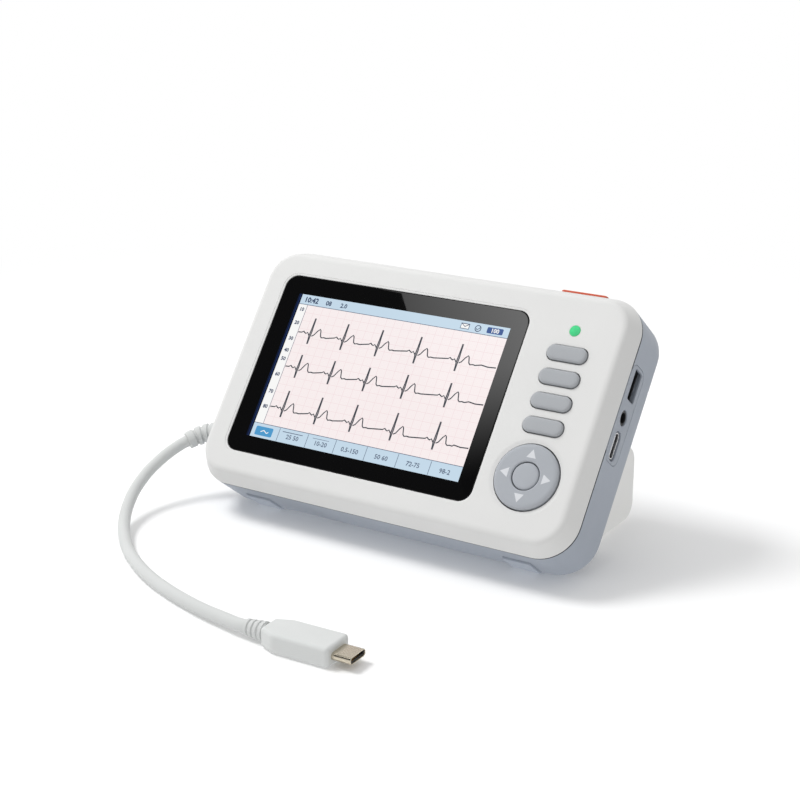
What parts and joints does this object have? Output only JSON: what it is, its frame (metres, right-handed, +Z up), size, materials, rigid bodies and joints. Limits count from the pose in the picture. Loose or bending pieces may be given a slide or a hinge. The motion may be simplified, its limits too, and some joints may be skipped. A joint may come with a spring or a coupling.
{
  "type": "ecg home monitor",
  "caption": "Desk-top home ECG monitor: leaning face with a lit screen, pill keys, a rocking direction pad, top button, side sockets, fold-up rear foot and a captive plug lead.",
  "frame": {"origin": "on the table, below the middle of the monitor's own box, its lead left out", "axes": "+X to the viewer's right along the face, +Y from the face to the rear foot, +Z up"},
  "size_m": [0.1657, 0.1535, 0.0847],
  "materials": {
    "shell_white": "satin",
    "shell_grey": "satin",
    "foot_white": "satin",
    "glass_black": "polished",
    "adhesive": "foam",
    "lcd": "lit",
    "bright_metal": "satin",
    "flex": "satin",
    "board_green": "solder mask",
    "key_grey": "matt",
    "dark_part": "matt",
    "lamp": "clear green",
    "orange": "satin",
    "panel_grey": "satin",
    "battery_wrap": "shrink film",
    "wire_red": "matt",
    "foot_rubber": "matt",
    "lead_grey": "matt",
    "plug_nickel": "satin"
  },
  "bodies": {
    "base": {"front_shell": "shell_white", "rear_shell": "shell_grey", "cover_glass": "glass_black", "glass_adhesive": "adhesive", "lcd_panel": "lcd", "lcd_tray": "bright_metal", "lcd_flex": "flex", "main_board": "board_green", "shield_can": "bright_metal", "side_switch": "dark_part", "key_board": "board_green", "dome_switches": "bright_metal", "lamp_lens": "lamp", "socket_panel": "panel_grey", "lead_socket": "dark_part", "jack_socket": "dark_part", "usb_socket": "bright_metal", "battery": "battery_wrap", "battery_lead": "wire_red", "speaker": "dark_part", "case_screws": "bright_metal", "board_screws": "bright_metal", "front_feet": "shell_grey", "hinge_pins": "bright_metal", "lead_boot": "lead_grey", "lead": "lead_grey", "plug_boot": "lead_grey", "plug_grip": "lead_grey", "plug_nose": "plug_nickel", "plug_core": "dark_part"},
    "key_1_body": {"key_1": "key_grey"},
    "key_2_body": {"key_2": "key_grey"},
    "key_3_body": {"key_3": "key_grey"},
    "key_4_body": {"key_4": "key_grey"},
    "pad_rocker": {"pad_collar": "dark_part"},
    "pad_ring": {"direction_ring": "key_grey"},
    "ok_body": {"ok_button": "key_grey"},
    "top_body": {"top_button": "orange"},
    "foot": {"rear_foot": "foot_white", "foot_pads": "foot_rubber"}
  },
  "joints": [
    {"name": "key_1_press", "type": "slide", "parent": "base", "child": "key_1_body", "axis": [0, 0.7944, -0.6074], "range_m": [0, 0.0008], "stiffness_N_per_m": 1000, "springref_m": -0.0005},
    {"name": "key_2_press", "type": "slide", "parent": "base", "child": "key_2_body", "axis": [0, 0.7944, -0.6074], "range_m": [0, 0.0008], "stiffness_N_per_m": 1000, "springref_m": -0.0005},
    {"name": "key_3_press", "type": "slide", "parent": "base", "child": "key_3_body", "axis": [0, 0.7944, -0.6074], "range_m": [0, 0.0008], "stiffness_N_per_m": 1000, "springref_m": -0.0005},
    {"name": "key_4_press", "type": "slide", "parent": "base", "child": "key_4_body", "axis": [0, 0.7944, -0.6074], "range_m": [0, 0.0008], "stiffness_N_per_m": 1000, "springref_m": -0.0005},
    {"name": "ok_press", "type": "slide", "parent": "base", "child": "ok_body", "axis": [0, 0.7944, -0.6074], "range_m": [0, 0.0008], "stiffness_N_per_m": 1000, "springref_m": -0.0005},
    {"name": "top_press", "type": "slide", "parent": "base", "child": "top_body", "axis": [0, -0.6074, -0.7944], "range_m": [0, 0.0008], "stiffness_N_per_m": 1000, "springref_m": -0.0005},
    {"name": "pad_tilt_up_down", "type": "hinge", "parent": "base", "child": "pad_rocker", "pos_m": [0.0537, -0.02538, 0.03365], "axis": [1, 0, 0], "range_deg": [-2.5, 2.5], "stiffness_Nm_per_rad": 0.32},
    {"name": "pad_tilt_left_right", "type": "hinge", "parent": "pad_rocker", "child": "pad_ring", "pos_m": [0.0537, -0.02538, 0.03365], "axis": [0, 0.6074, 0.7944], "range_deg": [-2.5, 2.5], "stiffness_Nm_per_rad": 0.32},
    {"name": "foot_fold", "type": "hinge", "parent": "base", "child": "foot", "pos_m": [0, 0.01577, 0.03807], "axis": [1, 0, 0], "range_deg": [0, 91]}
  ]
}
